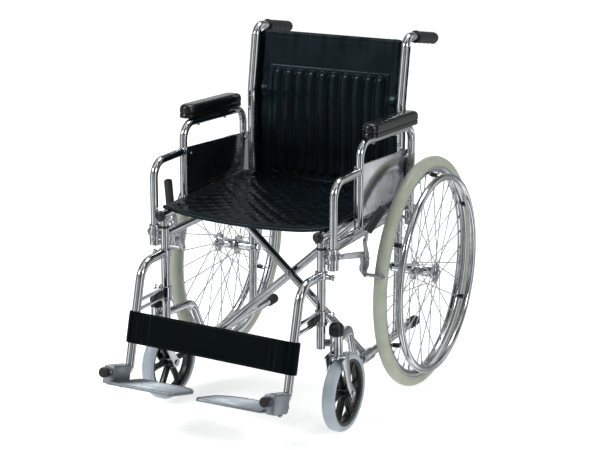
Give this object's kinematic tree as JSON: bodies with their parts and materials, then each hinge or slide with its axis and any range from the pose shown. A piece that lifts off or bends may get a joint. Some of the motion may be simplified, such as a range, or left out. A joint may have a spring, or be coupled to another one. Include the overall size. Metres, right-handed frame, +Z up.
{
  "type": "manual wheelchair",
  "caption": "Folding self-propelled wheelchair with X-brace, sling seat and back, lift-off stepped armrests, handrims, wheel locks, swing-away footrests and calf strap.",
  "frame": {"origin": "on the floor, at the middle of the chair's length and width", "axes": "+Z up, front of the chair towards -Y, sitter's left towards +X"},
  "size_m": [0.6806, 1.0766, 0.9266],
  "materials": {
    "chrome": "bright chromed steel tube",
    "mirror_steel": "mirror polished stainless sheet",
    "zinc_steel": "zinc plated steel, satin",
    "cast_aluminium": "die cast aluminium, tumbled satin",
    "black_vinyl": "black leather-grained vinyl, semi gloss",
    "black_rubber": "matt black rubber",
    "black_plastic": "black moulded plastic, satin",
    "rear_tyre_grey": "greenish grey solid polyurethane",
    "caster_tyre_grey": "grey solid polyurethane"
  },
  "bodies": {
    "left_frame": {"left_side_frame": "chrome", "left_push_grip": "black_rubber", "left_tip_cap": "black_rubber", "left_seat_cradle": "black_plastic", "left_caster_cap": "black_plastic", "left_rear_axle": "zinc_steel", "left_lock_bracket": "zinc_steel", "back_sling": "black_vinyl"},
    "left_wheel": {"left_rear_tyre": "rear_tyre_grey", "left_rear_wheel": "chrome", "left_handrim": "chrome"},
    "left_caster_swivel": {"left_caster_fork": "chrome"},
    "left_caster": {"left_caster_wheel": "black_plastic", "left_caster_tyre": "caster_tyre_grey"},
    "left_armrest": {"left_arm_frame": "chrome", "left_arm_pad": "black_vinyl", "left_skirt_guard": "mirror_steel"},
    "left_lock_handle": {"left_lock_lever": "zinc_steel", "left_lock_grip": "black_rubber"},
    "left_lock_press": {"left_lock_shoe": "zinc_steel"},
    "left_collar": {"left_hanger_collar": "zinc_steel"},
    "left_footrest": {"left_hanger": "chrome", "left_hanger_bumper": "black_rubber", "left_footrest_stem": "chrome", "left_foot_plug": "black_plastic", "calf_strap": "black_vinyl"},
    "left_latch": {"left_hanger_latch": "zinc_steel"},
    "left_plate": {"left_footplate": "cast_aluminium"},
    "right_frame": {"right_side_frame": "chrome", "right_push_grip": "black_rubber", "right_tip_cap": "black_rubber", "right_seat_cradle": "black_plastic", "right_caster_cap": "black_plastic", "right_rear_axle": "zinc_steel", "right_lock_bracket": "zinc_steel"},
    "right_wheel": {"right_rear_tyre": "rear_tyre_grey", "right_rear_wheel": "chrome", "right_handrim": "chrome"},
    "right_caster_swivel": {"right_caster_fork": "chrome"},
    "right_caster": {"right_caster_wheel": "black_plastic", "right_caster_tyre": "caster_tyre_grey"},
    "right_armrest": {"right_arm_frame": "chrome", "right_arm_pad": "black_vinyl", "right_skirt_guard": "mirror_steel"},
    "right_lock_handle": {"right_lock_lever": "zinc_steel", "right_lock_grip": "black_rubber"},
    "right_lock_press": {"right_lock_shoe": "zinc_steel"},
    "right_collar": {"right_hanger_collar": "zinc_steel"},
    "right_footrest": {"right_hanger": "chrome", "right_hanger_bumper": "black_rubber", "right_footrest_stem": "chrome", "right_foot_plug": "black_plastic"},
    "right_latch": {"right_hanger_latch": "zinc_steel"},
    "right_plate": {"right_footplate": "cast_aluminium"},
    "brace_a": {"brace_front": "chrome", "brace_bolt": "zinc_steel", "right_rail_plug": "black_plastic"},
    "brace_b": {"brace_rear": "chrome", "left_rail_plug": "black_plastic", "seat_sling": "black_vinyl"}
  },
  "joints": [
    {"name": "fold", "type": "hinge", "parent": "left_frame", "child": "brace_a", "pos_m": [0.217, 0.04334, 0.12], "axis": [0, 1, 0], "range_deg": [0, 39], "deforming": ["seat_sling", "back_sling", "calf_strap"]},
    {"name": "brace_cross", "type": "hinge", "parent": "brace_a", "child": "brace_b", "pos_m": [0, 0.04334, 0.315], "axis": [0, 1, 0], "range_deg": [-78, 0]},
    {"name": "right_rail_pivot", "type": "hinge", "parent": "brace_b", "child": "right_frame", "pos_m": [-0.217, 0.04334, 0.12], "axis": [0, 1, 0], "range_deg": [0, 39]},
    {"name": "left_wheel_spin", "type": "hinge", "parent": "left_frame", "child": "left_wheel", "pos_m": [0.292, 0.23334, 0.305], "axis": [1, 0, 0], "continuous": true},
    {"name": "left_caster_swivel", "type": "hinge", "parent": "left_frame", "child": "left_caster_swivel", "pos_m": [0.252, -0.22066, 0.213], "axis": [0, 0, 1], "continuous": true},
    {"name": "left_caster_spin", "type": "hinge", "parent": "left_caster_swivel", "child": "left_caster", "pos_m": [0.252, -0.17566, 0.1], "axis": [1, 0, 0], "continuous": true},
    {"name": "left_armrest_lift", "type": "slide", "parent": "left_frame", "child": "left_armrest", "axis": [0, 0, 1], "range_m": [0, 0.06]},
    {"name": "left_wheel_lock", "type": "hinge", "parent": "left_frame", "child": "left_lock_handle", "pos_m": [0.264, -0.08466, 0.42], "axis": [1, 0, 0], "range_deg": [0, 55]},
    {"name": "left_lock_shoe_pivot", "type": "hinge", "parent": "left_frame", "child": "left_lock_press", "pos_m": [0.264, -0.09666, 0.402], "axis": [1, 0, 0], "range_deg": [-24.75, 0]},
    {"name": "left_footrest_aside", "type": "hinge", "parent": "left_frame", "child": "left_collar", "pos_m": [0.217, -0.23466, 0.29], "axis": [0, 0, 1], "range_deg": [0, 39]},
    {"name": "left_footrest_swing", "type": "hinge", "parent": "left_collar", "child": "left_footrest", "pos_m": [0.217, -0.23466, 0.412], "axis": [0, 0, 1], "range_deg": [0, 90]},
    {"name": "left_latch_pull", "type": "slide", "parent": "left_footrest", "child": "left_latch", "axis": [1, 0, 0], "range_m": [0, 0.006]},
    {"name": "left_footplate_flip", "type": "hinge", "parent": "left_footrest", "child": "left_plate", "pos_m": [0.217, -0.4161, 0.158], "axis": [0, 0.9636, -0.2672], "range_deg": [0, 90]},
    {"name": "right_wheel_spin", "type": "hinge", "parent": "right_frame", "child": "right_wheel", "pos_m": [-0.292, 0.23334, 0.305], "axis": [1, 0, 0], "continuous": true},
    {"name": "right_caster_swivel", "type": "hinge", "parent": "right_frame", "child": "right_caster_swivel", "pos_m": [-0.252, -0.22066, 0.213], "axis": [0, 0, 1], "continuous": true},
    {"name": "right_caster_spin", "type": "hinge", "parent": "right_caster_swivel", "child": "right_caster", "pos_m": [-0.24652, -0.17599, 0.1], "axis": [0.9925, -0.1219, 0], "continuous": true},
    {"name": "right_armrest_lift", "type": "slide", "parent": "right_frame", "child": "right_armrest", "axis": [0, 0, 1], "range_m": [0, 0.06]},
    {"name": "right_wheel_lock", "type": "hinge", "parent": "right_frame", "child": "right_lock_handle", "pos_m": [-0.264, -0.08466, 0.42], "axis": [1, 0, 0], "range_deg": [0, 55]},
    {"name": "right_lock_shoe_pivot", "type": "hinge", "parent": "right_frame", "child": "right_lock_press", "pos_m": [-0.264, -0.09666, 0.402], "axis": [1, 0, 0], "range_deg": [-24.75, 0]},
    {"name": "right_footrest_aside", "type": "hinge", "parent": "right_frame", "child": "right_collar", "pos_m": [-0.217, -0.23466, 0.29], "axis": [0, 0, -1], "range_deg": [0, 39]},
    {"name": "right_footrest_swing", "type": "hinge", "parent": "right_collar", "child": "right_footrest", "pos_m": [-0.217, -0.23466, 0.412], "axis": [0, 0, -1], "range_deg": [0, 90]},
    {"name": "right_latch_pull", "type": "slide", "parent": "right_footrest", "child": "right_latch", "axis": [-1, 0, 0], "range_m": [0, 0.006]},
    {"name": "right_footplate_flip", "type": "hinge", "parent": "right_footrest", "child": "right_plate", "pos_m": [-0.217, -0.4161, 0.158], "axis": [0, -0.9636, 0.2672], "range_deg": [0, 90]}
  ],
  "couplings": [
    {"joint": "brace_cross", "follows": "fold", "ratio": -2},
    {"joint": "right_rail_pivot", "follows": "fold", "ratio": 1},
    {"joint": "left_lock_shoe_pivot", "follows": "left_wheel_lock", "ratio": -0.45},
    {"joint": "left_footrest_aside", "follows": "fold", "ratio": 1},
    {"joint": "right_lock_shoe_pivot", "follows": "right_wheel_lock", "ratio": -0.45},
    {"joint": "right_footrest_aside", "follows": "fold", "ratio": 1}
  ]
}
